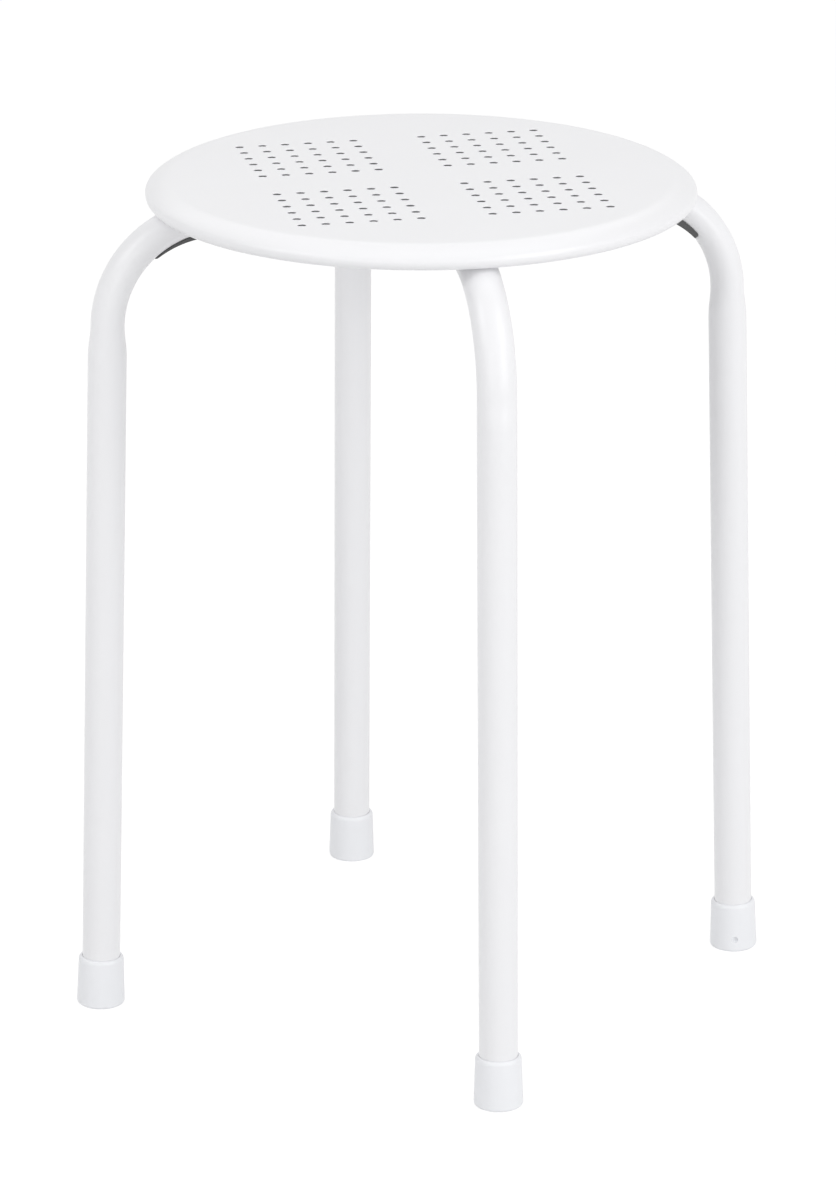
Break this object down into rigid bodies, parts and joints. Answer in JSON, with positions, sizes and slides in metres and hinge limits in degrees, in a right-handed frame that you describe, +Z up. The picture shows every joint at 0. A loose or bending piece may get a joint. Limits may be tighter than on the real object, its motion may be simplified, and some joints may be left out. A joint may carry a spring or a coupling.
{
  "type": "stacking stool",
  "caption": "Round backless stool: a perforated sheet-steel seat with a rolled rim on bent steel tubes that cross under it, with stacking pads and plastic feet.",
  "frame": {"origin": "on the floor, at the centre of the footprint and under the centre of the seat", "axes": "+Z up; the frame tubes run along X and Y, so one leg stands towards each of +X, +Y, -X and -Y; the tube along X is the one pressed against its top at the crossing"},
  "size_m": [0.3812, 0.3812, 0.45],
  "materials": {
    "powder_coat": "white powder coat with a fine, slightly uneven satin surface",
    "foot_plastic": "white moulded plastic, satin",
    "pad_plastic": "dark grey moulded plastic, matt",
    "saddle_plastic": "light grey moulded plastic, matt",
    "zinc_steel": "bright zinc plating"
  },
  "bodies": {
    "root": {"seat_pan": "powder_coat", "frame_tube_upper": "powder_coat", "frame_tube_lower": "powder_coat", "saddle_right": "saddle_plastic", "stud_right": "zinc_steel", "domed_washer_right": "zinc_steel", "lock_nut_right": "zinc_steel", "stacking_pad_right": "pad_plastic", "foot_right": "foot_plastic", "saddle_back": "saddle_plastic", "stud_back": "zinc_steel", "domed_washer_back": "zinc_steel", "lock_nut_back": "zinc_steel", "stacking_pad_back": "pad_plastic", "foot_back": "foot_plastic", "saddle_left": "saddle_plastic", "stud_left": "zinc_steel", "domed_washer_left": "zinc_steel", "lock_nut_left": "zinc_steel", "stacking_pad_left": "pad_plastic", "foot_left": "foot_plastic", "saddle_front": "saddle_plastic", "stud_front": "zinc_steel", "domed_washer_front": "zinc_steel", "lock_nut_front": "zinc_steel", "stacking_pad_front": "pad_plastic", "foot_front": "foot_plastic", "crossing_rivet": "zinc_steel", "centre_spacer": "saddle_plastic"}
  },
  "joints": []
}
